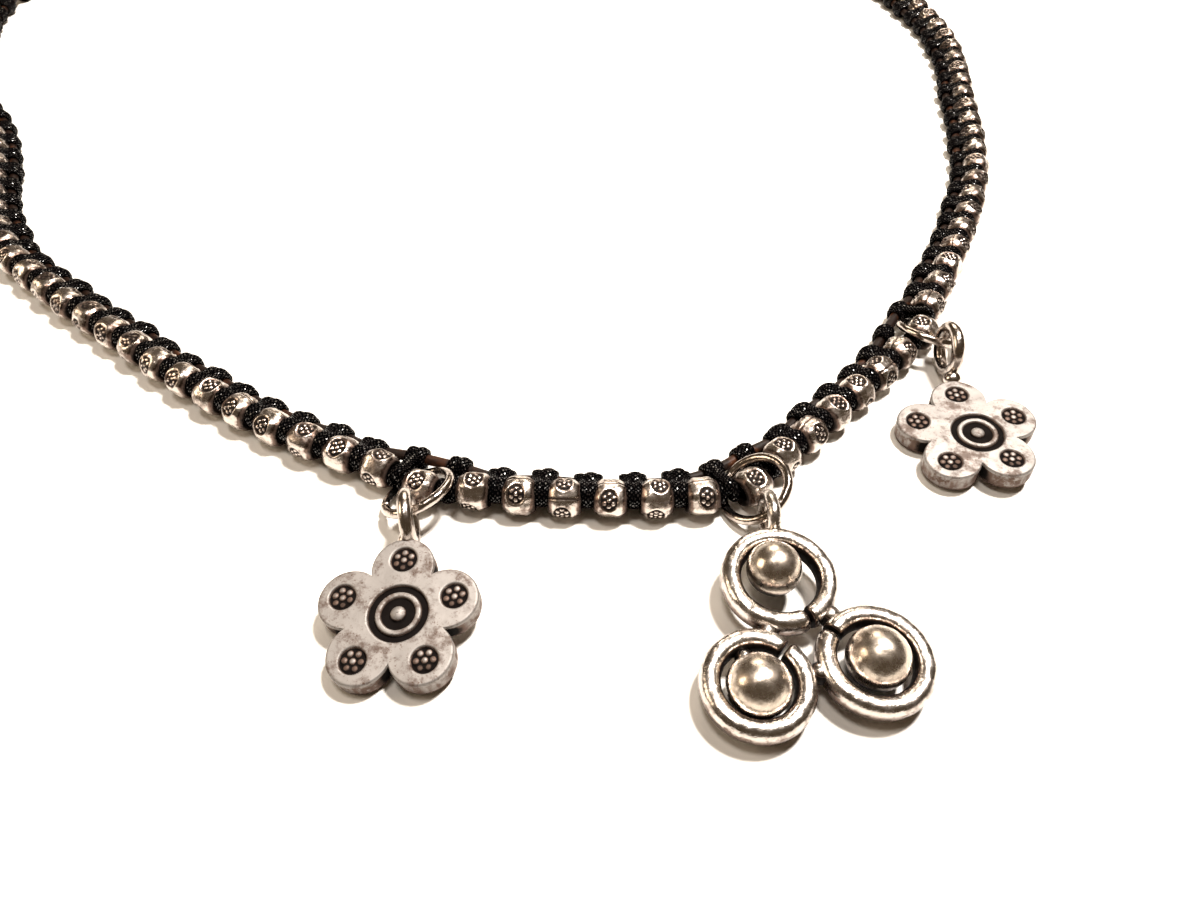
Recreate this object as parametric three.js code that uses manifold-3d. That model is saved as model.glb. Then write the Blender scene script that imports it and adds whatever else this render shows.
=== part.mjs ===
// Charm necklace: small stamped silver beads on a black waxed cord, lashed side by side to a thin
// leather core, with two flower charms and a three-ring charm on jump rings, lying flat.
// Millimetres, +Z up. The front of the loop, where the charms are, faces -Y.

import * as THREE from 'three';
import * as BufferGeometryUtils from 'three/addons/utils/BufferGeometryUtils.js';
import Module from 'manifold-3d';

const wasm = await Module();
wasm.setup();

// ---------------------------------------------------------------- driving dimensions

const PITCH = 3.95;                 // bead centre to bead centre along the string
const RING_GAP_EXTRA = 0.6;         // added to each of the gaps beside a bead that carries a jump ring
const STRETCH_GAP = 0.3;            // left between one stretch of the string and the next

const BEAD = { radius: 1.68, endRadius: 1.2, length: 2.85, shoulder: 0.75 };
const STRING = { radius: 0.33, knotRadius: 0.9 };
const CORE = { radius: 0.5, offset: 2.36, height: 1.28, lashRadius: 0.95, lashWidth: 1.0, lashFoot: 2.0 };

// How far along the string the change dies away where a bead stands forward of its jump ring.
const RING_REACH = 3.6;

const RING = { radius: 3.05, wire: 0.42, joint: 0.16 };

const FLOWER = {
  petals: 5,
  petalCentre: 4.0,
  petalRadius: 2.5,
  petalTip: 6.5,
  neckRadius: 0.85,
  thickness: 1.9,
  bevel: 0.25,
  bailRadius: 2.2,
  bailWire: 0.62,
};
const STAMP = { centre: 4.6, radius: 1.05, depth: 0.3 };
const BULLSEYE = [
  { groove: 'outer', inner: 1.78, outer: 2.35, depth: 0.35 },
  { groove: 'inner', inner: 0.5, outer: 1.36, depth: 0.35 },
];

const TRIPLE = {
  ringWidth: 1.52,
  ringHeight: 2.1,
  jointWidth: 0.32,
  ballAbove: 0.55,
  loopCentre: [-0.35, 11.4],
  loopRadius: 1.78,
  loopWire: 0.56,
  loopDrop: 0.35,
};
// One row for each ring of the three-ring charm: its centre, the radius of its middle line, the
// direction of its butt joint in degrees, its ball's radius and the ball's place off the centre.
const TRIPLE_RINGS = [
  { u: -0.93, v: 5.16, radius: 3.9, joint: -68, ball: 2.2, ballU: -0.3, ballV: 0.8 },
  { u: -4.3, v: -3.33, radius: 3.6, joint: 44, ball: 2.42, ballU: -0.05, ballV: -0.3 },
  { u: 4.8, v: -2.17, radius: 3.72, joint: 140, ball: 2.42, ballU: 0.1, ballV: 0.0 },
];
// Solder that joins the rings to each other, and each ball to its ring.
const SOLDER = [
  { u: -2.7, v: 0.75, radius: 0.85, z: -0.2 },
  { u: 2.35, v: 1.75, radius: 0.9, z: -0.2 },
  { u: 0.5, v: -2.75, radius: 0.85, z: -0.2 },
  { u: -4.9, v: -1.1, radius: 0.72, z: -0.1 },
  { u: 5.7, v: 0.25, radius: 0.62, z: -0.1 },
  { u: -1.9, v: 8.35, radius: 0.6, z: -0.1 },
];

// Where each charm lies and how its jump ring stands. bead is the bead that the ring goes round; it
// stands forward by out, and the core stands back by coreIn and up by coreLift. t, n and z place
// the ring's centre along, across and above the string at that bead, and riseT and riseN are the
// slopes of its plane the same two ways. x, y and turn place the charm itself, tilt raises its far
// side and lean lowers its right side. eyeX and eyeY are how far off the flower's middle its round
// grooves are stamped. bailX, bailY and bailZ are where a flower's bail stands off its middle,
// bailTurn turns it, and neckY is where its solder is.
const CHARMS = [
  { name: 'left', bead: 0, out: 0.85, coreIn: 0.99, coreLift: 0.24, t: -0.09, n: -1.34, z: 1.91,
    riseT: 0.53, riseN: -0.22, joint: 200, x: 8.2, y: -81.85, turn: 0, tilt: 7.4, lean: -3.7,
    eyeX: 0.2, eyeY: 0, bailX: -0.385, bailY: 8.77, bailZ: -0.2, bailTurn: 11, neckY: 6.8 },
  { name: 'centre', bead: 7, out: 0.72, coreIn: 1.12, coreLift: 0.19, t: -0.26, n: -1.21, z: 2.12,
    riseT: 0.62, riseN: -0.24, joint: 300, x: 39.3, y: -83.42, turn: 5.3, tilt: 3.7, lean: 0 },
  { name: 'right', bead: 14, out: 0.91, coreIn: 0.35, coreLift: 0.27, t: 0.07, n: -1.6, z: 1.83,
    riseT: -0.54, riseN: 0.01, joint: 20, x: 57.85, y: -61.4, turn: 0, tilt: 0.3, lean: -5,
    eyeX: 0.58, eyeY: -0.44, bailX: 0.47, bailY: 10.405, bailZ: 1.42, bailTurn: 2, neckY: 7.15 },
];

// The string's way round, seen from above, from the left flower's bead to the right and on round
// the back. Chosen by hand.
const ROUTE = [
  [8.3, -68.1], [13.5, -69.1], [19.8, -69.6], [27.6, -69.6], [32.5, -69.3], [36.3, -67.8],
  [40.7, -63.9], [47.7, -56.8], [53.0, -51.3], [57.4, -44.5], [61.3, -37.8], [65.0, -30.5],
  [68.5, -23.0], [71.4, -15.0], [73.5, -6.0], [75.2, 5.0], [76.8, 14.0], [77.7, 25.0],
  [75.7, 39.0], [68.0, 58.0], [50.0, 76.5], [24.0, 87.5], [-1.0, 90.5], [-29.0, 86.5],
  [-55.0, 75.0], [-72.5, 56.5], [-78.5, 36.0], [-73.0, 15.5], [-66.5, 2.5], [-57.1, -10.3],
  [-49.8, -25.8], [-44.0, -34.6], [-36.0, -41.7], [-26.0, -49.0], [-16.2, -56.0], [-6.2, -61.9],
  [1.0, -65.2],
];

// First bead of each stretch of the string. The last row is one past the last bead.
const STRETCH_STARTS = [
  -36, -32, -28, -24, -20, -16, -12, -9, -6, -2, 3, 6, 10, 13, 17, 21, 25, 29, 33, 37, 40,
];
const FINE_FIRST = -6;              // stretches from here ...
const FINE_END = 17;                // ... to here have rounder beads
const FINE_SIDES = 8;
const PLAIN_SIDES = 6;

const BACK = {
  radius: 1.0,
  knotRadius: 1.75,
  knotLength: 4.2,
  inset: 1.15,
  sides: 6,
  step: 6.4,
  clearRight: 1.8,
  clearLeft: 0.95,
};
const CLASP = { length: 15, width: 5.2, height: 3.6, corner: 1.4 };

// ---------------------------------------------------------------- materials

const silver = () => new THREE.MeshStandardMaterial({ color: 0x9c948b, roughness: 0.32, metalness: 1 });
const paleSilver = () => new THREE.MeshStandardMaterial({ color: 0xb9b2aa, roughness: 0.4, metalness: 1 });
const leather = () => new THREE.MeshStandardMaterial({ color: 0x3b2015, roughness: 0.6, metalness: 0 });
const waxedCord = () => new THREE.MeshStandardMaterial({ color: 0x0c0b0c, roughness: 0.55, metalness: 0 });

// ---------------------------------------------------------------- small helpers

const degrees = THREE.MathUtils.degToRad;
const hump = (x) => (Math.abs(x) < 1 ? (1 + Math.cos(Math.PI * x)) / 2 : 0);

function positionsOnly(geometry) {
  const bare = geometry.clone();
  for (const name of Object.keys(bare.attributes)) {
    if (name !== 'position') bare.deleteAttribute(name);
  }
  return BufferGeometryUtils.mergeVertices(bare, 1e-4);
}

function solid(geometry) {
  const merged = positionsOnly(geometry);
  return new wasm.Manifold(new wasm.Mesh({
    numProp: 3,
    vertProperties: new Float32Array(merged.attributes.position.array),
    triVerts: new Uint32Array(merged.index.array),
  }));
}

function geometryOf(manifold) {
  const mesh = manifold.getMesh();
  const geometry = new THREE.BufferGeometry();
  geometry.setAttribute('position', new THREE.BufferAttribute(new Float32Array(mesh.vertProperties), 3));
  geometry.setIndex(new THREE.BufferAttribute(new Uint32Array(mesh.triVerts), 1));
  return geometry;
}

function moved(geometry, x, y, z) {
  return geometry.clone().translate(x, y, z);
}

// A short upright cylinder on its own axis.
function disc(radius, height, sides) {
  const profile = [[0, -height / 2], [radius, -height / 2], [radius, height / 2], [0, height / 2]];
  return new THREE.LatheGeometry(profile.map(([r, y]) => new THREE.Vector2(r, y)), sides)
    .rotateX(Math.PI / 2);
}

// A washer with square edges, lying flat.
function washer(inner, outer, height, sides) {
  const h = height / 2;
  const profile = [[inner, -h], [outer, -h], [outer, h], [inner, h], [inner, -h]];
  return new THREE.LatheGeometry(profile.map(([r, y]) => new THREE.Vector2(r, y)), sides)
    .rotateX(Math.PI / 2);
}

// A ring of oval section, lying flat, cut through at its butt joint.
function ovalRing({ radius, width, height, joint, jointWidth, sides, sectionSides }) {
  const profile = [];
  for (let i = 0; i <= sectionSides; i += 1) {
    const a = (2 * Math.PI * (i % sectionSides)) / sectionSides - Math.PI / 2;
    profile.push(new THREE.Vector2(
      radius + (width / 2) * Math.cos(a),
      (height / 2) * Math.sin(a),
    ));
  }
  const ring = solid(new THREE.LatheGeometry(profile, sides).rotateX(Math.PI / 2));
  const reach = width + 2;
  const slit = new THREE.BoxGeometry(reach, jointWidth, height + 1)
    .translate(radius, 0, 0)
    .rotateZ(degrees(joint));
  return ring.subtract(solid(slit));
}

// ---------------------------------------------------------------- the string's route

const route = new THREE.CatmullRomCurve3(
  ROUTE.map(([x, y]) => new THREE.Vector3(x, y, 0)),
  true,
  'centripetal',
);
route.arcLengthDivisions = 2400;
const ROUTE_LENGTH = route.getLength();

// The place and directions at a distance along the string: along, inward (to the loop's inside).
function station(s) {
  const u = THREE.MathUtils.euclideanModulo(s / ROUTE_LENGTH, 1);
  const point = route.getPointAt(u);
  const along = route.getTangentAt(u);
  const inward = new THREE.Vector3(-along.y, along.x, 0);
  return { point, along, inward };
}

const ringedGaps = CHARMS.flatMap(({ bead }) => [bead - 0.5, bead + 0.5]);

// Distance along the string of bead i, or of a gap when i is half way between two beads.
function beadStation(i) {
  const lo = Math.min(0, i);
  const hi = Math.max(0, i);
  let extra = 0;
  for (const gap of ringedGaps) {
    if (gap > lo && gap < hi) extra += RING_GAP_EXTRA;
    if (gap === i) extra += RING_GAP_EXTRA / 2;
  }
  return i * PITCH + Math.sign(i) * extra;
}

// How much of a charm's own change is felt at s, summed over the charms.
function atRings(s, name) {
  return CHARMS.reduce(
    (sum, charm) => sum + charm[name] * hump((s - beadStation(charm.bead)) / RING_REACH),
    0,
  );
}

const stringPath = (s) => ({ n: -atRings(s, 'out'), z: BEAD.radius });
const corePath = (s) => ({
  n: CORE.offset + atRings(s, 'coreIn'),
  z: CORE.height + atRings(s, 'coreLift'),
});

// Turns a profile of (radius, distance along the string) into a solid bent along a path.
function bentLathe(profile, sides, path) {
  const points = profile.map(([r, s]) => new THREE.Vector2(r, s));
  const geometry = positionsOnly(new THREE.LatheGeometry(points, sides));
  const position = geometry.attributes.position;
  const v = new THREE.Vector3();
  for (let i = 0; i < position.count; i += 1) {
    v.fromBufferAttribute(position, i);
    const { point, inward } = station(v.y);
    const { n, z } = path(v.y);
    position.setXYZ(
      i,
      point.x + inward.x * (n + v.x),
      point.y + inward.y * (n + v.x),
      z - v.z,
    );
  }
  return geometry;
}

// ---------------------------------------------------------------- beads and core

function beadProfile(centre, fine) {
  const h = BEAD.length / 2;
  if (!fine) return [[BEAD.endRadius, centre - h], [BEAD.radius, centre], [BEAD.endRadius, centre + h]];
  return [
    [BEAD.endRadius, centre - h],
    [BEAD.radius, centre - h + BEAD.shoulder],
    [BEAD.radius, centre + h - BEAD.shoulder],
    [BEAD.endRadius, centre + h],
  ];
}

// Beads first to last - 1, joined by the cord that they are strung on. The cord is thick where it
// is knotted between two beads, and thin where a jump ring passes.
function beadStretch(first, end, fine) {
  const half = BEAD.length / 2;
  const profile = [];
  const isRinged = (gap) => ringedGaps.includes(gap);
  const start = beadStation(first - 0.5) + STRETCH_GAP / 2;
  profile.push([0, start], [STRING.knotRadius, start]);
  for (let i = first; i < end; i += 1) {
    const centre = beadStation(i);
    if (isRinged(i - 0.5)) profile.push([STRING.radius, centre - half]);
    profile.push(...beadProfile(centre, fine));
    if (isRinged(i + 0.5)) profile.push([STRING.radius, centre + half]);
    else if (i + 1 < end) profile.push([STRING.knotRadius, beadStation(i + 0.5)]);
  }
  const stop = beadStation(end - 0.5) - STRETCH_GAP / 2;
  profile.push([STRING.knotRadius, stop], [0, stop]);
  return bentLathe(profile, fine ? FINE_SIDES : PLAIN_SIDES, stringPath);
}

// The leather core beside the same beads, with a raised lashing of cord at each gap.
function coreStretch(first, end, fine) {
  const profile = [];
  const start = beadStation(first - 0.5) + PITCH / 2 - 0.75;
  const stop = beadStation(end - 0.5) + PITCH / 2 - 0.75 - STRETCH_GAP;
  profile.push([0, start], [CORE.radius, start]);
  for (let i = first; i < end; i += 1) {
    const gap = i + 0.5;
    const centre = beadStation(gap);
    if (centre + CORE.lashFoot / 2 > stop) continue;
    if (ringedGaps.includes(gap)) {
      profile.push([CORE.radius, centre]);
      continue;
    }
    if (!fine) {
      profile.push([CORE.radius, centre - CORE.lashFoot / 2], [CORE.lashRadius, centre]);
      profile.push([CORE.radius, centre + CORE.lashFoot / 2]);
      continue;
    }
    profile.push([CORE.radius, centre - CORE.lashFoot / 2]);
    profile.push([CORE.lashRadius, centre - CORE.lashWidth / 2]);
    profile.push([CORE.lashRadius, centre + CORE.lashWidth / 2]);
    profile.push([CORE.radius, centre + CORE.lashFoot / 2]);
  }
  profile.push([CORE.radius, stop], [0, stop]);
  return bentLathe(profile, fine ? FINE_SIDES : PLAIN_SIDES - 1, corePath);
}

// ---------------------------------------------------------------- jump rings

function jumpRing(charm) {
  const at = beadStation(charm.bead);
  const { point, along, inward } = station(at);
  const up = new THREE.Vector3(0, 0, 1);
  const normal = new THREE.Vector3()
    .addScaledVector(along, -charm.riseT)
    .addScaledVector(inward, -charm.riseN)
    .add(up)
    .normalize();
  const across = new THREE.Vector3().crossVectors(normal, along).normalize();
  const forward = new THREE.Vector3().crossVectors(across, normal);
  const place = new THREE.Matrix4().makeBasis(forward, across, normal).setPosition(
    point.x + along.x * charm.t + inward.x * charm.n,
    point.y + along.y * charm.t + inward.y * charm.n,
    charm.z,
  );
  const ring = ovalRing({
    radius: RING.radius,
    width: 2 * RING.wire,
    height: 2 * RING.wire,
    joint: charm.joint,
    jointWidth: RING.joint,
    sides: 18,
    sectionSides: 5,
  });
  return geometryOf(ring).applyMatrix4(place);
}

// ---------------------------------------------------------------- flower charm

function flowerOutline() {
  const shape = new THREE.Shape();
  const turn = (2 * Math.PI) / FLOWER.petals;
  const apart = FLOWER.petalCentre * Math.sin(turn / 2);
  const open = Math.acos(apart / FLOWER.petalRadius);
  for (let k = 0; k < FLOWER.petals; k += 1) {
    const aim = Math.PI / 2 + k * turn;
    const sweep = Math.PI / 2 + turn / 2 - open;
    shape.absarc(
      FLOWER.petalCentre * Math.cos(aim),
      FLOWER.petalCentre * Math.sin(aim),
      FLOWER.petalRadius,
      aim - sweep,
      aim + sweep,
      false,
    );
  }
  return shape;
}

// The flower before it is tilted: its middle at the origin, its bail towards +Y.
function flowerCharm({ lean, eyeX, eyeY, bailX, bailY, bailZ, bailTurn, neckY }) {
  const plate = new THREE.ExtrudeGeometry(flowerOutline(), {
    depth: FLOWER.thickness - 2 * FLOWER.bevel,
    curveSegments: 5,
    bevelEnabled: true,
    bevelThickness: FLOWER.bevel,
    bevelSize: FLOWER.bevel,
    bevelOffset: -FLOWER.bevel,
    bevelSegments: 1,
  }).translate(0, 0, -FLOWER.thickness / 2 + FLOWER.bevel);
  let body = solid(plate);
  const top = FLOWER.thickness / 2;
  for (const { inner, outer, depth } of BULLSEYE) {
    body = body.subtract(solid(moved(washer(inner, outer, 2 * depth, 12), eyeX, eyeY, top)));
  }
  for (let k = 0; k < FLOWER.petals; k += 1) {
    const aim = Math.PI / 2 + (2 * Math.PI * k) / FLOWER.petals;
    const stamp = moved(
      disc(STAMP.radius, 2 * STAMP.depth, 7),
      STAMP.centre * Math.cos(aim),
      STAMP.centre * Math.sin(aim),
      top,
    );
    body = body.subtract(solid(stamp));
  }
  const bail = new THREE.TorusGeometry(FLOWER.bailRadius, FLOWER.bailWire, 6, 14)
    .rotateY(Math.PI / 2)
    .rotateZ(degrees(bailTurn))
    .translate(bailX, bailY, bailZ);
  const neck = new THREE.IcosahedronGeometry(FLOWER.neckRadius, 0)
    .translate(bailX / 2, neckY, bailZ / 3);
  return geometryOf(body.rotate([0, lean, 0]).add(solid(bail)).add(solid(neck)));
}

// ---------------------------------------------------------------- three-ring charm

function tripleCharm() {
  let body = null;
  const join = (piece) => {
    body = body ? body.add(piece) : piece;
  };
  for (const { u, v, radius, joint, ball, ballU, ballV } of TRIPLE_RINGS) {
    join(ovalRing({
      radius,
      width: TRIPLE.ringWidth,
      height: TRIPLE.ringHeight,
      joint,
      jointWidth: TRIPLE.jointWidth,
      sides: 18,
      sectionSides: 6,
    }).translate([u, v, 0]));
    const sphere = new THREE.SphereGeometry(ball, 10, 7).rotateX(Math.PI / 2);
    join(solid(moved(sphere, u + ballU, v + ballV, TRIPLE.ballAbove)));
  }
  for (const { u, v, radius, z } of SOLDER) {
    join(solid(moved(new THREE.IcosahedronGeometry(radius, 0), u, v, z)));
  }
  const [loopU, loopV] = TRIPLE.loopCentre;
  const loop = new THREE.TorusGeometry(TRIPLE.loopRadius, TRIPLE.loopWire, 6, 14)
    .rotateY(Math.PI / 2)
    .translate(loopU, loopV, -TRIPLE.loopDrop);
  join(solid(loop));
  return geometryOf(body);
}

// ---------------------------------------------------------------- back of the necklace

// The core and cord run on together, bound into one plain cord, from a knot beside the last bead
// to the clasp.
function backCord(fromBead, side, clear) {
  const claspAt = (beadStation(STRETCH_STARTS[0]) + beadStation(STRETCH_STARTS.at(-1) - 1)) / 2
    + ROUTE_LENGTH / 2;
  const start = beadStation(fromBead) + side * (BEAD.length / 2 + clear);
  const end = (side > 0 ? claspAt : claspAt - ROUTE_LENGTH) - side * (CLASP.length / 2 + 0.4);
  const count = Math.round(Math.abs(end - start - side * BACK.knotLength) / BACK.step);
  const run = (end - start - side * BACK.knotLength) / count;
  const rows = [
    [0, 0],
    [0.7, 0],
    [BACK.knotRadius, 0.3],
    [BACK.knotRadius, 0.75],
    [BACK.radius, 1],
  ].map(([r, f]) => [r, start + side * f * BACK.knotLength]);
  for (let k = 1; k <= count; k += 1) {
    rows.push([BACK.radius, start + side * BACK.knotLength + k * run]);
  }
  rows.push([0, end]);
  if (side < 0) rows.reverse();
  const path = (s) => {
    const gone = THREE.MathUtils.clamp((side * (s - start)) / BACK.knotLength, 0, 1);
    return {
      n: BACK.inset,
      z: THREE.MathUtils.lerp(BACK.knotRadius, BACK.radius, THREE.MathUtils.smoothstep(gone, 0.75, 1)),
    };
  };
  return bentLathe(rows, BACK.sides, path);
}

function clasp() {
  const w = CLASP.width / 2 - CLASP.corner;
  const l = CLASP.length / 2 - CLASP.corner;
  const shape = new THREE.Shape();
  shape.absarc(l, w, CLASP.corner, 0, Math.PI / 2, false);
  shape.absarc(-l, w, CLASP.corner, Math.PI / 2, Math.PI, false);
  shape.absarc(-l, -w, CLASP.corner, Math.PI, 1.5 * Math.PI, false);
  shape.absarc(l, -w, CLASP.corner, 1.5 * Math.PI, 2 * Math.PI, false);
  const geometry = new THREE.ExtrudeGeometry(shape, {
    depth: CLASP.height,
    curveSegments: 4,
    bevelEnabled: false,
  });
  const at = (beadStation(STRETCH_STARTS[0]) + beadStation(STRETCH_STARTS.at(-1) - 1)) / 2
    + ROUTE_LENGTH / 2;
  const { point, along, inward } = station(at);
  return geometry
    .rotateZ(Math.atan2(along.y, along.x))
    .translate(point.x + inward.x * BACK.inset, point.y + inward.y * BACK.inset, 0);
}

// ---------------------------------------------------------------- assembly

const necklace = new THREE.Group();

function add(name, geometry, material) {
  const mesh = new THREE.Mesh(geometry, material);
  mesh.name = name;
  necklace.add(mesh);
  return mesh;
}

const twoDigits = (k) => String(k).padStart(2, '0');

for (let k = 0; k + 1 < STRETCH_STARTS.length; k += 1) {
  const first = STRETCH_STARTS[k];
  const end = STRETCH_STARTS[k + 1];
  const fine = first >= FINE_FIRST && end <= FINE_END;
  add(`beads_${twoDigits(k + 1)}`, beadStretch(first, end, fine), silver());
  add(`lashed_core_${twoDigits(k + 1)}`, coreStretch(first, end, fine), leather());
}

for (const charm of CHARMS) add(`jump_ring_${charm.name}`, jumpRing(charm), silver());

for (const charm of CHARMS) {
  const isFlower = charm.name !== 'centre';
  const geometry = isFlower ? flowerCharm(charm) : tripleCharm();
  geometry.rotateX(degrees(charm.tilt)).rotateZ(degrees(charm.turn));
  geometry.computeBoundingBox();
  geometry.translate(charm.x, charm.y, -geometry.boundingBox.min.z);
  add(isFlower ? `flower_charm_${charm.name}` : 'three_ring_charm', geometry, paleSilver());
}

add('back_cord_right', backCord(STRETCH_STARTS.at(-1) - 1, 1, BACK.clearRight), waxedCord());
add('back_cord_left', backCord(STRETCH_STARTS[0], -1, BACK.clearLeft), waxedCord());
add('clasp', clasp(), silver());

// The origin is under the middle of the whole necklace, on the surface that it lies on.
const bounds = new THREE.Box3().setFromObject(necklace);
const middle = bounds.getCenter(new THREE.Vector3());
necklace.position.set(-middle.x, -middle.y, -bounds.min.z);

export default necklace;
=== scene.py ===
"""Charm necklace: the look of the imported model, and a pale table to show it on."""

import math
import random

import bmesh
import bpy
import numpy as np
from mathutils import Matrix, Vector


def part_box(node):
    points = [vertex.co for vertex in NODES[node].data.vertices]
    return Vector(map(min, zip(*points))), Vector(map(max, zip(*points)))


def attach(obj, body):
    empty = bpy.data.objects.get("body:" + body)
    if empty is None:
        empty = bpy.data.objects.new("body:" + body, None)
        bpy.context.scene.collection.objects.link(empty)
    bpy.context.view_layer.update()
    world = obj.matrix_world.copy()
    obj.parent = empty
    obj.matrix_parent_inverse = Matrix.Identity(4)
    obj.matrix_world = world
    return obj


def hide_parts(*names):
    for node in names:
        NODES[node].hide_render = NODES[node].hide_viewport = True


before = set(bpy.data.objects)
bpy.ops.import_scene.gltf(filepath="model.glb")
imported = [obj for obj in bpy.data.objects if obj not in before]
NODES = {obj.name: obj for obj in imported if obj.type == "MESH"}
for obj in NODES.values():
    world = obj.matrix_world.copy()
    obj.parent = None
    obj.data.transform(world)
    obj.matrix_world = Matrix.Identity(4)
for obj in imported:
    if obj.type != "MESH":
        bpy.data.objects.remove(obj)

bl_info = {
    "name": "Charm necklace",
    "version": (1, 0, 0),
    "blender": (4, 5, 0),
    "location": "View3D > Sidebar > Necklace",
    "description": "Beads, cord, charms and table for the charm necklace",
    "category": "Object",
}

MM = 0.001
TURN = 2 * math.pi
UP = np.array([0, 0, 1.0])
BEAD_NODES = sorted(n for n in NODES if n.startswith("beads_"))
CORE_NODES = sorted(n for n in NODES if n.startswith("lashed_core_"))
CHARM_SIDES = ("left", "centre", "right")

# A bead's radius, and the height below which a corner point rests on the table, in mm.
BEAD_RADIUS, FOOT_HEIGHT = 1.68, 0.02
# Beads are counted along the string from the one that carries the left flower's jump ring.
RINGED_BEADS = (0, 7, 14)
# Where a stretch of core ends, its middle lies this far in from the string and this high, in mm.
CORE_BESIDE = 2.15
CORE_HEIGHT = 1.28
# The lashing pulls the core this much closer to the string, in mm, except in the wide gaps beside a
# jump ring. A gap is wide where its beads stand at least this far apart.
CORE_CLOSER = 0.42
WIDE_GAP = 4.2
# The front beads have finer meshes, and their stamps are turned as listed, in degrees.
FRONT_FIRST = -6
FRONT_TURNS = (
    95, 60, 48, 100, 70, 112,
    83, 95, 58, -12, 48, 104, 46, 85, 98,
    40, 80, 104, 12, 50, 108, 30, 60, 90, 50,
)
FRONT_END = FRONT_FIRST + len(FRONT_TURNS)


# ---- sizes and colours

def size(name, text, mm):
    return bpy.props.FloatProperty(
        name=name, description=text, default=mm * MM, unit="LENGTH", precision=5)


def colour(name, text, rgb):
    return bpy.props.FloatVectorProperty(
        name=name, description=text, default=rgb, subtype="COLOR", size=3, min=0, max=1)


class NecklaceSizes(bpy.types.PropertyGroup):
    """Sizes of the parts, in metres."""

    bead_radius: size("Bead radius", "Widest radius of a bead", BEAD_RADIUS)
    bead_end: size("Bead end radius", "Outer radius at a bead's ends", 1.2)
    bead_length: size("Bead length", "Length of a bead along the string", 2.85)
    bead_flat: size("Bead straight part", "Half of a bead's widest part, along it", 0.42)
    bead_bore: size("Bead bore", "Radius of the hole the cord goes through", 0.75)
    stamp_along: size("Stamp half length", "Half of an oval stamp, along the bead", 0.8)
    stamp_round: size("Stamp half width", "Half of an oval stamp, round the bead", 1.06)
    stamp_depth: size("Stamp depth", "How deep a stamp is pressed into a bead", 0.17)
    stamp_granule: size("Stamp granule", "Radius of one grain in a bead's stamp", 0.2)
    seam_width: size("Seam width", "Half width of a bead's seam", 0.05)
    core_radius: size("Core radius", "Radius of the leather core", 0.5)
    turn_width: size("Cord half width", "Half width of a turn of the cord", 0.5)
    turn_depth: size("Cord half depth", "Half thickness of a turn of the cord", 0.27)
    gap_radius: size("Cord radius in a gap", "Outer radius of the cord between two beads", 1.05)
    gap_width: size("Cord half width in a gap", "Half width of the cord between two beads", 0.6)
    strap_string: size("Strap at the string", "A strap's radius round the string", 0.93)
    strap_rise: size("Strap rise", "How far the turns stand above the string", 0.28)
    strap_core: size("Strap at the core", "A strap's radius round the core", 0.72)
    strap_spread: size("Strap spread", "Half the space between two straps at the core", 0.6)
    strap_pinch: size("Strap pinch", "Half the space between two straps at the string", 0.2)
    thread_radius: size("Thread radius", "Radius of the cord inside the beads", 0.42)
    ring_radius: size("Jump ring radius", "A jump ring's middle radius", 3.05)
    ring_wire: size("Jump ring wire", "Radius of the jump ring wire", 0.42)
    ring_joint: size("Jump ring joint", "Width of the open joint of a jump ring", 0.16)
    petal_centre: size("Petal centre", "From the flower's centre to a petal's", 4.0)
    petal_radius: size("Petal radius", "Radius of a petal", 2.5)
    plate: size("Flower thickness", "Thickness of a flower", 1.9)
    plate_edge: size("Flower edge", "Radius of a flower's rounded edge", 0.24)
    petal_stamp_centre: size("Petal stamp centre", "From the flower's centre to a petal's stamp", 4.6)
    petal_stamp: size("Petal stamp radius", "Radius of a petal's round stamp", 1.12)
    petal_granule: size("Petal granule", "Radius of one grain in a petal's stamp", 0.34)
    petal_granule_ring: size("Petal granule ring", "Radius of the ring of grains", 0.64)
    bail_radius: size("Bail radius", "A flower bail's middle radius", 2.2)
    bail_wire: size("Bail wire", "Radius of a flower's bail wire", 0.62)
    split_width: size("Split ring width", "Width of the three-ring charm's wire", 1.66)
    split_height: size("Split ring height", "Height of the three-ring charm's wire", 2.1)
    split_joint: size("Split ring joint", "Width of each split ring's joint", 0.32)
    ball_above: size("Ball height", "How far the balls stand above the rings", 0.55)
    loop_radius: size("Small loop radius", "Radius of the three-ring charm's loop", 1.78)
    loop_wire: size("Small loop wire", "Wire radius of the three-ring charm's loop", 0.56)
    back_radius: size("Back cord radius", "Radius of the bound cord at the back", 1.0)
    clasp_edge: size("Clasp edge", "Radius of the clasp's rounded edges", 0.7)


class NecklaceColours(bpy.types.PropertyGroup):
    """Colours and finishes."""

    silver: colour("Silver", "Worn silver", (0.6, 0.54, 0.495))
    # Dull silver and patina also serve as painted shade, wherever the meshes' dark mask marks shade.
    dull_silver_and_shade: colour("Dull silver", "Silver where it has tarnished", (0.13, 0.09, 0.073))
    patina_and_shade: colour("Patina", "Dark patina in the stamps", (0.005, 0.0035, 0.003))
    charm: colour("Charm silver", "Silver of the three-ring charm", (0.6, 0.555, 0.515))
    flower: colour("Flower silver", "Grey silver of the flowers", (0.305, 0.288, 0.275))
    wire: colour("Wire silver", "Silver of the jump rings and bails", (0.5, 0.445, 0.405))
    ball: colour("Ball silver", "Darker silver of the three balls", (0.6, 0.53, 0.455))
    leather: colour("Leather", "Brown leather core", (0.008, 0.0035, 0.002))
    leather_light: colour("Worn leather", "Leather where it is rubbed", (0.06, 0.02, 0.0075))
    cord: colour("Waxed cord", "Black waxed cord", (0.0014, 0.0013, 0.0016))
    # Painted glint on the waxed tops of the braid.
    cord_wax_glint: colour("Cord glint", "Wax on the tops of the braid", (0.016, 0.013, 0.013))
    table: colour("Table", "Pale table top", (0.86, 0.845, 0.815))


# ---- shader arithmetic

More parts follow.
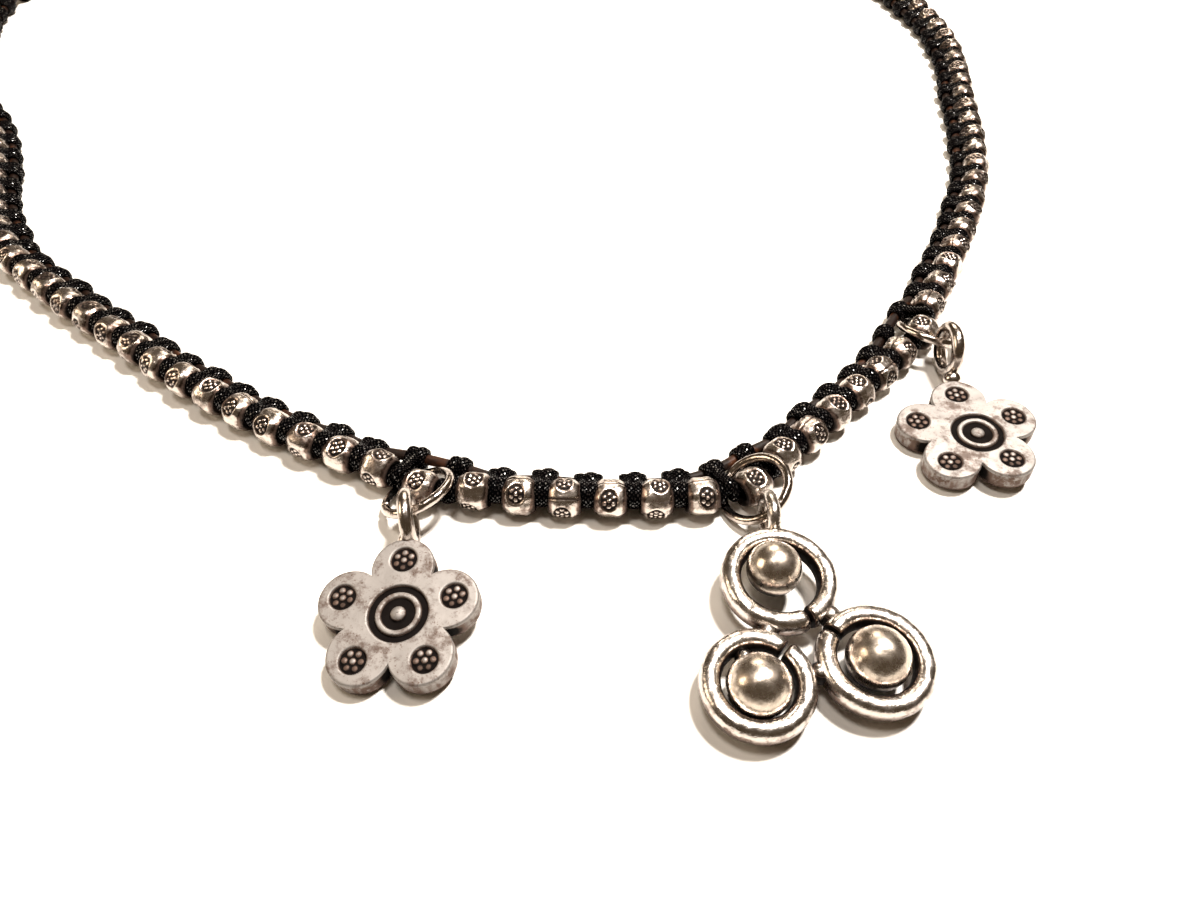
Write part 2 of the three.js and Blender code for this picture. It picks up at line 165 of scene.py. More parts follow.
class Value:
    """A number from a node tree; arithmetic on it adds Math nodes."""

    def __init__(self, maker, socket):
        self.maker = maker
        self.socket = socket

    def math(self, operation, *others):
        return self.maker.node("ShaderNodeMath", {"operation": operation}, {
            i: v for i, v in enumerate((self, *others))}).out(0)

    def __add__(self, other):
        return self.math("ADD", other)

    def __mul__(self, other):
        return self.math("MULTIPLY", other)

    __radd__, __rmul__ = __add__, __mul__

    def __sub__(self, other):
        return self.math("SUBTRACT", other)

    def __rsub__(self, other):
        return (-1 * self) + other

    def __pow__(self, other):
        return self.math("POWER", other)

    def clamp(self):
        """Kept between 0 and 1."""
        return self.math("MAXIMUM", 0.0).math("MINIMUM", 1.0)

    def sine(self):
        return self.math("SINE")

    def size(self):
        """Without its sign."""
        return self.math("ABSOLUTE")

    def ramp(self, low, high):
        """0 below low, 1 above high, smooth between."""
        return self.maker.node(
            "ShaderNodeMapRange", {"interpolation_type": "SMOOTHSTEP"},
            {"Value": self, "From Min": low, "From Max": high}).out("Result")


class Node:
    """A made node, which gives its outputs by name or number."""

    def __init__(self, maker, node):
        self.maker = maker
        self.made = node

    def out(self, name):
        return Value(self.maker, self.made.outputs[name])


class Maker:
    """Builds one material around a Principled shader."""

    def __init__(self, name):
        self.material = bpy.data.materials.new(name)
        self.material.use_nodes = True
        self.tree = self.material.node_tree
        self.shader = self.tree.nodes["Principled BSDF"]

    def node(self, kind, settings=None, inputs=None):
        """A node of that kind: settings are set first, then inputs by name or number."""
        made = self.tree.nodes.new(kind)
        for key, value in (settings or {}).items():
            setattr(made, key, value)
        self.connect(made, inputs or {})
        return Node(self, made)

    def connect(self, made, inputs):
        for key, value in inputs.items():
            socket = made.inputs[key]
            if isinstance(value, Value):
                self.tree.links.new(value.socket, socket)
            elif hasattr(value, "__len__") and len(value) == 3 and socket.type == "RGBA":
                socket.default_value = (*value, 1.0)
            else:
                socket.default_value = value

    def mix(self, amount, first, second):
        """A colour between first and second."""
        return self.node("ShaderNodeMix", {"data_type": "RGBA"}, {0: amount, 6: first, 7: second}).out(2)

    def noise(self, per_mm, detail=3.0, rough=0.55):
        """Noise from 0 to 1 with about that many spots in a millimetre."""
        place = self.node("ShaderNodeTexCoord").out("Object")
        return self.node("ShaderNodeTexNoise", None, {
            "Vector": place, "Scale": per_mm / MM, "Detail": detail, "Roughness": rough}).out("Fac")

    def across(self):
        """The two numbers of a point's place on its surface, in millimetres."""
        uv = self.node("ShaderNodeUVMap").out("UV")
        parts = self.node("ShaderNodeSeparateXYZ", None, {0: uv})
        return parts.out("X"), parts.out("Y")

    def bump(self, height, depth_mm):
        """The surface's direction when height raises it by up to that depth."""
        return self.node("ShaderNodeBump", None, {
            "Height": height, "Distance": depth_mm * MM, "Strength": 1.0}).out("Normal")

    def finish(self, **inputs):
        """Connects the shader's inputs, with _ for a space, and returns the material."""
        self.connect(self.shader, {k.replace("_", " "): v for k, v in inputs.items()})
        return self.material


def silver_material(name, colours, bright, tarnish, rough, grain, speckle=0.0):
    """Worn silver, with shares of tarnish and of pitting (speckle), and a bump of grain mm. Where the
    mesh's dark mask is high, it is brown, and then nearly black: patina where it is pressed in, and
    painted shade on bead ends, walls, lower parts and crevices."""
    m = Maker(name)
    dark = m.node("ShaderNodeAttribute", {"attribute_name": "dark"}).out("Fac")
    broad = m.noise(0.5, detail=2.0, rough=0.4)
    middle = m.noise(1.3, rough=0.5)
    fine = m.noise(4.5, rough=0.6)
    stain = (broad * 0.45 + middle * 0.35 + fine * 0.25).ramp(0.5, 0.66) * tarnish
    pits = m.noise(5.5, detail=2.0, rough=0.7).ramp(0.58, 0.7) * broad.ramp(0.3, 0.55) * speckle
    # The dark mask brings patina in stamps and grooves and painted shade elsewhere; noise roughens its edge.
    grime_and_shade = dark + (middle - 0.5) * 0.3 + (fine - 0.5) * 0.2
    brown = grime_and_shade.ramp(0.15, 0.5)
    black = grime_and_shade.ramp(0.5, 0.8)
    worn_and_shaded = m.mix((stain + pits + brown).clamp(), bright, colours.dull_silver_and_shade)
    base = m.mix(black, worn_and_shaded, colours.patina_and_shade)
    gloss = middle.ramp(0.3, 0.8) * 0.1 + stain * 0.12 + black * 0.25 + rough
    normal = m.bump(broad * 1.2 + middle * 0.35 + fine * 0.06, grain)
    m.shader.inputs["Specular IOR Level"].default_value = 0.1
    return m.finish(Base_Color=base, Metallic=1.0 - black * 0.8, Roughness=gloss, Normal=normal)


def wire_material(name, colours, bright, rough):
    """Polished wire, faintly dented, with some tarnish."""
    m = Maker(name)
    broad = m.noise(0.4)
    fine = m.noise(2.4, detail=4.0, rough=0.6)
    stain = (broad * 0.55 + fine * 0.45).ramp(0.47, 0.68) * 0.8
    base = m.mix(stain, bright, colours.dull_silver_and_shade)
    normal = m.bump(broad + fine * 0.2, 0.12)
    gloss = fine.ramp(0.35, 0.8) * 0.14 + rough
    return m.finish(Base_Color=base, Metallic=1.0, Roughness=gloss, Normal=normal)


def cord_material(name, colours, cell):
    """Waxed braid: over-and-under cells of that many millimetres, with wax on their tops, painted lighter as
    a glint and given a clear coat.
    """
    m = Maker(name)
    along, around = m.across()
    wax = m.noise(2.2, rough=0.6)
    along = along + wax * (cell * 1.5)
    warp = ((along + around) * (math.pi / cell)).sine().size()
    weft = ((along - around) * (math.pi / cell)).sine().size()
    cells = (warp * weft) ** 0.6
    tops = (cells * 0.7 + wax * 0.5).ramp(0.72, 1.0)
    # Painted glint: the tops of the braid take a lighter colour.
    base = m.mix(tops, colours.cord, colours.cord_wax_glint)
    normal = m.bump(cells + wax * 0.5, 0.2)
    m.shader.inputs["Specular IOR Level"].default_value = 0.0
    m.shader.inputs["Coat Roughness"].default_value = 0.2
    m.shader.inputs["Coat IOR"].default_value = 1.75
    return m.finish(Base_Color=base, Roughness=0.55, Coat_Weight=tops * 0.9, Normal=normal)


def leather_material(name, colours):
    """Round leather cord, lightly ridged, and paler where it is rubbed."""
    m = Maker(name)
    along, around = m.across()
    fibre = m.noise(1.6, detail=4.0, rough=0.6)
    rub = m.noise(0.45, detail=2.0)
    shade = (fibre * 0.35 + rub * 0.65).ramp(0.5, 0.72)
    ridges = (along * 2.3 + around * 9.0).sine() * 0.5 + 0.5
    base = m.mix(shade, colours.leather, colours.leather_light)
    normal = m.bump(fibre + ridges * 0.15, 0.07)
    m.shader.inputs["Specular IOR Level"].default_value = 0.15
    return m.finish(Base_Color=base, Roughness=0.5 - shade * 0.1, Normal=normal)


def table_material(name, pale):
    """A pale table top, faintly flecked."""
    m = Maker(name)
    fleck = m.noise(0.09)
    base = m.mix(fleck * 0.25, pale, (pale[0] * 0.97, pale[1] * 0.965, pale[2] * 0.95))
    return m.finish(Base_Color=base, Roughness=0.55 + fleck * 0.06)


# ---- meshes

def put(name, data):
    """A new object with that data, in the scene."""
    made = bpy.data.objects.new(name, data)
    bpy.context.scene.collection.objects.link(made)
    return made


class Shape:
    """Points and faces gathered for one mesh."""

    def __init__(self):
        self.points = []
        self.dark = []
        self.faces = []
        self.spots = []
        self.count = 0

    def grid(self, rows, around=None, along=None, dark=None, loop=False, caps=False):
        """Quads over rows of points, each row a closed ring. loop joins the last row to the first, and
        caps closes both. around and along are surface places in millimetres."""
        rows = np.asarray(rows, float)
        high, wide = rows.shape[:2]
        start = self.count
        self.points.append(rows.reshape(-1, 3))
        self.dark.append(np.zeros(high * wide) if dark is None else np.asarray(dark, float).reshape(-1))
        self.count += high * wide
        jj, ii = np.meshgrid(np.arange(high if loop else high - 1), np.arange(wide), indexing="ij")
        ring = ((0, 0), (0, 1), (1, 1), (1, 0))
        quads = np.stack([(jj + v) % high * wide + (ii + u) % wide for v, u in ring], -1) + start
        self.faces.extend(quads.reshape(-1, 4).tolist())
        ulong = np.arange(high + 1.0) if along is None else np.asarray(along, float)
        uround = np.arange(wide + 1.0) if around is None else np.asarray(around, float)
        spot = np.stack([np.stack([ulong[jj + v], uround[ii + u]], -1) for v, u in ring], -2)
        self.spots.append(spot.reshape(-1, 2))
        if caps:
            for row in (0, high - 1):
                self.faces.append([start + row * wide + k for k in range(wide)])
                self.spots.append(np.zeros((wide, 2)))

    def object(self, name, material, nodes):
        """The gathered mesh, resting on the table, as an object that stands for those nodes."""
        points = np.concatenate(self.points)
        points[:, 2] = np.maximum(points[:, 2], 0)
        mesh = bpy.data.meshes.new(name)
        mesh.from_pydata(points.tolist(), [], self.faces)
        mesh.uv_layers.new(name="UVMap").data.foreach_set("uv", np.concatenate(self.spots).ravel())
        # The dark mask holds real patina and painted shade alike.
        mesh.attributes.new("dark", "FLOAT", "POINT").data.foreach_set("value", np.concatenate(self.dark))
        bm = bmesh.new()
        bm.from_mesh(mesh)
        bmesh.ops.recalc_face_normals(bm, faces=bm.faces)
        bm.to_mesh(mesh)
        bm.free()
        mesh.polygons.foreach_set("use_smooth", [True] * len(mesh.polygons))
        mesh.materials.append(material)
        made = put(name, mesh)
        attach(made, "root")
        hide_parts(*nodes)
        return made

    def moved(self, matrix):
        """The same shape, turned and placed."""
        turned = np.array(matrix)
        self.points = [p @ turned[:3, :3].T + turned[:3, 3] for p in self.points]
        return self

    def add(self, part):
        """Adds another shape's mesh to this one."""
        self.points += part.points
        self.dark += part.dark
        self.faces += [[i + self.count for i in face] for face in part.faces]
        self.spots += part.spots
        self.count += part.count

    def box(self):
        """The lowest and the highest corner of the box round the shape."""
        points = np.concatenate(self.points)
        return points.min(0), points.max(0)


def smoothstep(x, low, high):
    """0 below low, 1 above high, smooth between."""
    t = np.clip((x - low) / (high - low), 0, 1)
    return t * t * (3 - 2 * t)


def unit(v):
    v = np.asarray(v, float)
    return v / np.linalg.norm(v, axis=-1, keepdims=True)


def full_turn(count):
    """That many equal steps of angle round a circle, from 0."""
    return np.arange(count) * TURN / count


def spokes(angles, first, second):
    """Directions at those angles, turning from first towards second."""
    return np.cos(angles)[:, None] * first + np.sin(angles)[:, None] * second


def lengths(line):
    """How far along a closed line each point lies, and then its whole length, in millimetres."""
    steps = np.linalg.norm(np.diff(line, axis=0, append=line[:1]), axis=1)
    return np.concatenate([[0], np.cumsum(steps)]) / MM


def corners(node):
    """The separate corner points of a node of the model."""
    co = np.array([v.co for v in NODES[node].data.vertices], float)
    return np.unique(np.round(co, 7), axis=0)


def feet(node):
    """The corner points of a node that rest on the table."""
    points = corners(node)
    return points[points[:, 2] < FOOT_HEIGHT * MM]


def smooth_line(points, count):
    """A smooth line through the points, with count steps between each two."""
    p = np.asarray(points, float)
    p = np.concatenate([[2 * p[0] - p[1]], p, [2 * p[-1] - p[-2]]])
    t = (np.arange(count) / count)[:, None]
    parts = []
    for a, b, c, d in zip(p[:-3], p[1:-2], p[2:-1], p[3:]):
        parts.append(0.5 * (2 * b + (c - a) * t + (2 * a - 5 * b + 4 * c - d) * t ** 2
                            + (3 * b - a - 3 * c + d) * t ** 3))
    return np.concatenate([*parts, p[-2:-1]])


def tube(shape, line, radius, sides, closed=False, up=UP):
    """A tube of that radius along a line; up keeps its surface from twisting."""
    line = np.asarray(line, float)
    if closed:
        ahead = np.roll(line, -1, 0) - np.roll(line, 1, 0)
    else:
        ahead = np.gradient(line, axis=0)
    ahead = unit(ahead)
    side = unit(np.cross(ahead, up))
    top = np.cross(side, ahead)
    sweep(shape, line, side, top, radius, radius, np.mean(radius), sides, closed)


def sweep(shape, line, side, top, wide, high, mean, sides, closed):
    """A cord along a line, as wide as that along side and as high along top; mean is its mean radius."""
    a = full_turn(sides)[None, :, None]
    wide, high = (np.broadcast_to(v, len(line))[:, None, None] for v in (wide, high))
    rows = line[:, None] + wide * np.cos(a) * side[:, None] + high * np.sin(a) * top[:, None]
    around = np.arange(sides + 1) * TURN / sides * mean / MM
    shape.grid(rows, around, lengths(line), loop=closed, caps=not closed)


# ---- where the string runs

# In mm: the points of one bead's foot lie closer together than this, and the core's points beside a gap
# lie this near it along the string, and in all.
FOOT_LENGTH, CORE_NEAR = 2.0, (0.62, 4.5)


def string_rows():
    """Place, direction and number of every bead, in order. A bead's lowest points lie under its axis."""
    middles = np.array([sum(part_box(n), Vector()) / 2 for n in BEAD_NODES])
    spots = []
    for name, ahead in zip(BEAD_NODES, np.gradient(middles, axis=0) * (1, 1, 0)):
        low = feet(name)
        low = low[np.argsort(low @ ahead)]
        group = [low[0]]
        for p in low[1:]:
            if np.linalg.norm(p - group[-1]) < FOOT_LENGTH * MM:
                group.append(p)
            else:
                spots.append(group)
                group = [p]
        spots.append(group)
    places = np.array([np.mean(g, 0) for g in spots])
    ahead = unit(np.gradient(places, axis=0))
    for k, group in enumerate(spots):
        if len(group) > 1:
            ahead[k] = unit(group[-1] - group[0])
    ahead[:, 2] = 0
    places[:, 2] = BEAD_RADIUS * MM
    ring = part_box("jump_ring_left")
    middle = np.array((ring[0] + ring[1]) / 2)
    first = int(np.argmin(np.linalg.norm(places[:, :2] - middle[:2], axis=1)))
    return places, unit(ahead), np.arange(len(places)) - first


def inward(ahead):
    """The level direction square to ahead that points into the loop."""
    return np.stack([-ahead[..., 1], ahead[..., 0], 0 * ahead[..., 0]], -1)


def core_points(places):
    """The middle of the leather core beside each gap between two beads."""
    every = np.concatenate([corners(n) for n in CORE_NODES])
    found = []
    for a, b in zip(places[:-1], places[1:]):
        gap = (a + b) / 2
        ahead = unit(b - a)
        off = every - gap
        near = np.abs(off @ ahead) < CORE_NEAR[0] * MM
        near &= np.linalg.norm(off, axis=1) < CORE_NEAR[1] * MM
        if near.any():
            middle = every[near].mean(0)
            if np.linalg.norm(b - a) <= WIDE_GAP * MM:
                middle = middle - unit((middle - gap) * (1, 1, 0)) * CORE_CLOSER * MM
            found.append(middle)
        else:
            plain = gap + inward(ahead) * CORE_BESIDE * MM
            plain[2] = CORE_HEIGHT * MM
            found.append(plain)
    return np.array(found)


PLACES, AHEAD, NUMBERS = string_rows()
CORE = core_points(PLACES)


# ---- beads

# Beads, with lengths in mm, angles in radians, and the rest as shares: the roundness of their shoulders,
# a stamp's wall and raised lip, its ring of grains, how far they rise and where they are rubbed bright,
# how dark the painted shade on the ends and in the bore is and how dark the seam is, the points round
# and along a bead, how far one bead strays from the next, and how uneven it is.
SHOULDER, STAMP_WALL, SEAM_DEPTH = 1.9, (0.84, 1.0), 0.09
STAMP_LIP, LIP_WIDTH, LIP_HEIGHT = 1.1, 0.09, 0.035
RING_GRAINS, GRAIN_REACH, GRAIN_RISE, GRAIN_RUBBED = 6, 0.56, 0.85, (0.15, 0.75)
END_PAINTED_SHADE, SEAM_SHADE, BORE_PAINTED_SHADE = 0.7, 0.9, 0.75
FINE_BEAD, PLAIN_BEAD = (84, 32), (48, 20)
STRAY_STAMP, STRAY_ALONG, STRAY_SEAM, STRAY_TILT = 0.07, 0.26, 0.15, 0.05
WAVES, WAVE_HEIGHT = (2, 3, 5, 7), (0.014, 0.036)


def grains(wide, high, start=0.0):
    """The angle and place of each grain of a stamp: a ring of them, and then the one in the middle."""
    turns = [start + k * TURN / RING_GRAINS for k in range(RING_GRAINS)]
    return [(t, wide * math.cos(t), high * math.sin(t)) for t in turns] + [(math.pi / 2, 0, 0)]


def bead_surface(sizes, around, along, stamps, seam, uneven):
    """Radius and darkness over one bead. stamps are (angle, place along) pairs, seam is an angle, and
    uneven lists waves as (height, turns round, phase, slant)."""
    half = sizes.bead_length / 2
    s = np.linspace(-half, half, along)[:, None]
    a = full_turn(around)[None, :]
    fall = np.clip((np.abs(s) - sizes.bead_flat) / (half - sizes.bead_flat), 0, 1)
    r = sizes.bead_radius - (sizes.bead_radius - sizes.bead_end) * fall ** SHOULDER + 0 * a
    for height, turns, phase, slant in uneven:
        r = r + height * np.sin(turns * a + phase + slant * s / half)
    # Painted shade: a bead darkens towards its ends, where it curves away.
    dark = END_PAINTED_SHADE * smoothstep(np.abs(s) + 0 * a, half / 2, half)
    for angle, place in stamps:
        x = ((a - angle + math.pi) % TURN - math.pi) * sizes.bead_radius
        y = s - place
        out = np.sqrt((x / sizes.stamp_round) ** 2 + (y / sizes.stamp_along) ** 2)
        pressed = 1 - smoothstep(out, *STAMP_WALL)
        lip = np.exp(-((out - STAMP_LIP) / LIP_WIDTH) ** 2)
        raised = np.zeros_like(out)
        for _, gx, gy in grains(GRAIN_REACH * sizes.stamp_round, GRAIN_REACH * sizes.stamp_along):
            near = ((x - gx) ** 2 + (y - gy) ** 2) / sizes.stamp_granule ** 2
            raised = np.maximum(raised, np.sqrt(np.clip(1 - near, 0, 1)))
        r = r - pressed * sizes.stamp_depth * (1 - GRAIN_RISE * raised) + lip * LIP_HEIGHT * MM
        dark = np.maximum(dark, pressed * (1 - smoothstep(raised, *GRAIN_RUBBED)))
    x = np.abs((a - seam + math.pi) % TURN - math.pi) * sizes.bead_radius
    slit = 1 - smoothstep(x, 0.4 * sizes.seam_width, 1.6 * sizes.seam_width)
    r = r - slit * SEAM_DEPTH * MM
    return s, a, r, np.maximum(dark, slit * SEAM_SHADE)


def add_bead(shape, sizes, place, ahead, around, along, *marks):
    """One bead with its end faces and the mouths of its bore."""
    half = sizes.bead_length / 2
    s, a, r, dark = bead_surface(sizes, around, along, *marks)
    rim = [(half - 0.02 * MM, sizes.bead_end - 0.07 * MM), (half - 0.03 * MM, sizes.bead_bore + 0.06 * MM),
           (half - 0.12 * MM, sizes.bead_bore), (half * 0.4, sizes.bead_bore)]
    first = [(-q, np.full(around, p)) for q, p in rim[::-1]]
    last = [(q, np.full(around, p)) for q, p in rim]
    rows = first + [(float(q), p) for q, p in zip(s[:, 0], r)] + last
    out = spokes(a[0], -inward(ahead), UP)
    points = np.array([place + ahead * q + out * p[:, None] for q, p in rows])
    # Painted shade on the end faces and in the bore.
    bore = np.full((len(rim), around), BORE_PAINTED_SHADE)
    shape.grid(points, dark=np.concatenate([bore, dark, bore]))


def build_beads(sizes, colours):
    rng = random.Random(5)
    silver = silver_material("bead_silver", colours, colours.silver, tarnish=0.95, rough=0.22, grain=0.22)
    groups = {"beads_left": Shape(), "beads_front": Shape(), "beads_right": Shape()}
    for place, ahead, number in zip(PLACES, AHEAD, NUMBERS):
        front = FRONT_FIRST <= number < FRONT_END
        turn = math.radians(FRONT_TURNS[number - FRONT_FIRST]) if front else rng.uniform(0, TURN)
        stamps = [(turn + k * TURN / 3 + rng.uniform(-STRAY_STAMP, STRAY_STAMP),
                   rng.uniform(-STRAY_ALONG, STRAY_ALONG) * MM) for k in range(3)]
        seam = turn + TURN / 6 + rng.uniform(-STRAY_SEAM, STRAY_SEAM)
        uneven = [(rng.uniform(*WAVE_HEIGHT) * MM, turns, rng.uniform(0, TURN), rng.uniform(-1.8, 1.8))
                  for turns in WAVES]
        tilt = Matrix.Rotation(rng.uniform(-STRAY_TILT, STRAY_TILT), 3, "Z")
        around, along = FINE_BEAD if front else PLAIN_BEAD
        ahead = np.array(tilt @ Vector(ahead))
        add_bead(groups[group_of(number)], sizes, place, ahead, around, along, stamps, seam, uneven)
    numbers = node_numbers(BEAD_NODES)
    for name, shape in groups.items():
        nodes = [n for n, k in numbers.items() if group_of(k) == name]
        shape.object(name, silver, nodes)


def node_numbers(names):
    """The number of the bead nearest to each node's middle."""
    found = {}
    for n in names:
        low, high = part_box(n)
        middle = np.array((low + high) / 2)[:2]
        found[n] = int(NUMBERS[np.argmin(np.linalg.norm(PLACES[:, :2] - middle, axis=1))])
    return found


def group_of(number):
    """The drawn group that a bead of that number belongs to."""
    if FRONT_FIRST <= number < FRONT_END:
        return "beads_front"
    return "beads_left" if number < 0 else "beads_right"


# ---- core and lashing

def build_core(sizes, colours):
    shape = Shape()
    first = PLACES[0] + CORE[0] - (PLACES[0] + PLACES[1]) / 2
    last = PLACES[-1] + CORE[-1] - (PLACES[-2] + PLACES[-1]) / 2
    line = smooth_line([knot("left"), first, *CORE, last, knot("right")], 8)
    tube(shape, line, sizes.core_radius, 14)
    leather = leather_material("leather_core", colours)
    shape.object("leather_core", leather, CORE_NODES)


# Lashing, in mm: a strap's waist, and how much wider it is on the core, as a share; how near a jump ring
# passes a gap, and how far beside the string; the turn over a pair of straps; and beside a jump ring,
# the turns on the core, the collars on the string, and the tie that clears the ring.
STRAP_WAIST, STRAP_FLARE, RING_NEAR, RING_BESIDE = 0.16, 0.16, 1.3, 1.0
OVER_RADIUS, OVER_LEAN, OVER_WIDTH = (0.12, 0.2), (0.1, 0.35), 0.62
CORE_APART, CORE_LEAN, COLLAR_OFF, COLLAR_WIDTH = 0.5, 0.4, 0.36, 0.4
TIE_CLEAR, TIE_RADII = 0.72, (0.5, 0.45)


def cord_turn(shape, sizes, middle, ahead, radius, lean, squeeze=1.0, steps=26, sides=10, width=None):
    """One flattened turn of the cord round an axis; lean slants it along the string."""
    a = full_turn(steps)
    out = spokes(a, inward(ahead), UP)
    line = middle + out * radius + np.sin(a + 0.6)[:, None] * lean * ahead
    flat_tube(shape, line, out, width or sizes.turn_width, sizes.turn_depth * squeeze, sides)


def flat_tube(shape, line, out, width, depth, sides):
    """A closed flattened cord along a line, lying flat against what is inside it."""
    ahead = unit(np.roll(line, -1, 0) - np.roll(line, 1, 0))
    across = unit(np.cross(ahead, out))
    mean = (np.ravel(width)[0] + depth) / 2
    sweep(shape, line, across, np.cross(across, ahead), width, depth, mean, sides, True)


def strap(shape, sizes, string, core, ahead, spreads, radii, lean, steps=11, sides=10):
    """A strap of cord round both the string and the core. It stands off the gap's middle by the first
    of spreads at the string and by the second at the core, and runs at those radii round them."""
    across = core - string
    across -= ahead * (across @ ahead)
    apart = np.linalg.norm(across)
    side = across / apart
    up = np.cross(ahead, side)
    up = up if up[2] > 0 else -up
    touch = math.acos((radii[0] - radii[1]) / apart)
    at_core = spokes(np.linspace(-touch, touch, steps), side, up)
    at_string = spokes(np.linspace(touch, TURN - touch, steps), side, up)
    core_part = core + at_core * radii[1]
    string_part = string + at_string * radii[0]
    part = np.array([[0.25], [0.5], [0.75]])
    waist = np.sin(part * math.pi) * STRAP_WAIST * MM
    over = core_part[-1] + (string_part[0] - core_part[-1]) * part - up * waist
    under = string_part[-1] + (core_part[0] - string_part[-1]) * part + up * waist
    line = np.concatenate([core_part, over, string_part, under])
    out = np.concatenate([at_core, np.repeat(at_core[-1:], len(part), 0),
                          at_string, np.repeat(at_string[-1:], len(part), 0)])
    share_core = smoothstep((line - string) @ side / apart, 0.1, 0.95)
    height = (line - (string + core) / 2) @ up / radii[0]
    line = line + ahead * (spreads[0] + (spreads[1] - spreads[0]) * share_core + lean * height)[:, None]
    width = sizes.turn_width * (1 + STRAP_FLARE * share_core)
    flat_tube(shape, line, out, width, sizes.turn_depth, sides)


def ring_above(gap, ahead):
    """Whether a jump ring passes above the space between the string and the core at that gap."""
    spot = gap + inward(ahead) * RING_BESIDE * MM
    rings = np.concatenate([corners(f"jump_ring_{side}") for side in CHARM_SIDES])
    near = rings[np.linalg.norm((rings - spot)[:, :2], axis=1) < RING_NEAR * MM]
    return len(near) > 0 and near[:, 2].mean() > gap[2]


def lash_beside_ring(shape, sizes, k, ahead, core_ahead, lean, rng):
    """The lashing of a gap that a jump ring passes: turns on the core and on the string, and a tie
    between them that clears the ring."""
    a, b = PLACES[k], PLACES[k + 1]
    gap = (a + b) / 2
    for apart in (-CORE_APART, CORE_APART):
        cord_turn(shape, sizes, CORE[k] + core_ahead * apart * MM, core_ahead, sizes.strap_core, lean)
    cord_turn(shape, sizes, CORE[k], core_ahead, sizes.strap_core + 0.08 * MM, CORE_LEAN * MM)
    for end, way in ((a, 1), (b, -1)):
        beside = end + ahead * way * (sizes.bead_length / 2 + COLLAR_OFF * MM)
        cord_turn(shape, sizes, beside, ahead, sizes.gap_radius - sizes.turn_depth * 1.5, 0,
                  squeeze=1.5, steps=30, sides=12, width=COLLAR_WIDTH * MM)
    shift = UP * (-TIE_CLEAR if ring_above(gap, ahead) else TIE_CLEAR) * MM
    radii = [r * MM for r in TIE_RADII]
    spreads = (rng.uniform(-0.1, 0.1) * MM, 0)
    strap(shape, sizes, gap + shift, CORE[k] + shift * 0.4, ahead, spreads, radii, lean)


def lash(shape, sizes, k, ahead, core_ahead, lean, rng, fine):
    """The lashing of one plain gap: turns that fill it, a pair of straps, and a turn over them."""
    gap = (PLACES[k] + PLACES[k + 1]) / 2 + UP * sizes.strap_rise + inward(ahead) * sizes.strap_rise / 2
    steps, sides = (13, 12) if fine else (9, 8)
    fill = (sizes.gap_radius + sizes.thread_radius) / 2
    thick = (sizes.gap_radius - sizes.thread_radius) / 2 / sizes.turn_depth
    cord_turn(shape, sizes, gap, ahead, fill, lean / 2, thick, 2 * steps, sides, sizes.gap_width)
    for sign in (-1, 1):
        spreads = (sign * sizes.strap_pinch, sign * (sizes.strap_spread + rng.uniform(-0.05, 0.05) * MM))
        radii = (sizes.strap_string, sizes.strap_core * rng.uniform(0.96, 1.05))
        strap(shape, sizes, gap, CORE[k], ahead, spreads, radii, sign * lean, steps, sides)
    over = sizes.strap_core + rng.uniform(*OVER_RADIUS) * MM
    slant = rng.uniform(*OVER_LEAN) * MM
    cord_turn(shape, sizes, CORE[k], core_ahead, over, slant, 1.0, 2 * steps, sides, OVER_WIDTH * MM)


def build_lashing(sizes, colours):
    rng = random.Random(11)
    front, rest = Shape(), Shape()
    for k in range(len(PLACES) - 1):
        a, b = PLACES[k], PLACES[k + 1]
        ahead = unit(b - a)
        core_ahead = unit(CORE[min(k + 1, len(CORE) - 1)] - CORE[max(k - 1, 0)])
        fine = FRONT_FIRST <= NUMBERS[k] < FRONT_END
        shape = front if fine else rest
        tube(shape, [a, (a + b) / 2, b], sizes.thread_radius, 8)
        lean = rng.uniform(0.04, 0.16) * MM
        if {NUMBERS[k], NUMBERS[k + 1]} & set(RINGED_BEADS):
            lash_beside_ring(shape, sizes, k, ahead, core_ahead, lean, rng)
        else:
            lash(shape, sizes, k, ahead, core_ahead, lean, rng, fine)
    for end, side in ((PLACES[0], "left"), (PLACES[-1], "right")):
        tube(rest, smooth_line([end, (end + knot(side)) / 2, knot(side)], 4), sizes.thread_radius, 8)
    cord = cord_material("waxed_cord", colours, cell=0.36)
    for name, shape in (("lashing_front", front), ("lashing_rest", rest)):
        shape.object(name, cord, BEAD_NODES + CORE_NODES)


# ---- rings and bails

# Where each jump ring's joint points, in degrees; how thick and how dark an open hoop's ends are; and
# the points round an open hoop and a closed one.
RING_JOINTS, HOOP_END, HOOP_END_SHADE = (195, 300, 20), 0.86, 0.8
HOOP_STEPS, CLOSED_STEPS = 96, 64


def split_hoop(shape, radius, section, joint, width, dark=0.0):
    """An open hoop lying flat, with its joint in that direction. section is (across, up) pairs."""
    half = width / radius / 2
    a = np.linspace(joint + half, joint + TURN - half, HOOP_STEPS)
    shrink = np.ones(HOOP_STEPS)
    shrink[0] = shrink[-1] = HOOP_END
    out = np.stack([np.cos(a), np.sin(a), 0 * a], -1)
    rows = out[:, None] * (radius + section[None, :, :1] * shrink[:, None, None]) + \
        UP * section[None, :, 1:] * shrink[:, None, None]
    shade = np.broadcast_to(dark, rows.shape[:2]).copy()
    shade[[0, -1]] = HOOP_END_SHADE
    shape.grid(rows, dark=shade, caps=True)


def round_section(wide, high, sides, square=2.0):
    """A rounded section of that width and height; square above 2 fills out its corners."""
    b = full_turn(sides)
    c, s = np.cos(b), np.sin(b)
    return np.stack([wide / 2 * np.sign(c) * np.abs(c) ** (2 / square),
                     high / 2 * np.sign(s) * np.abs(s) ** (2 / square)], -1)


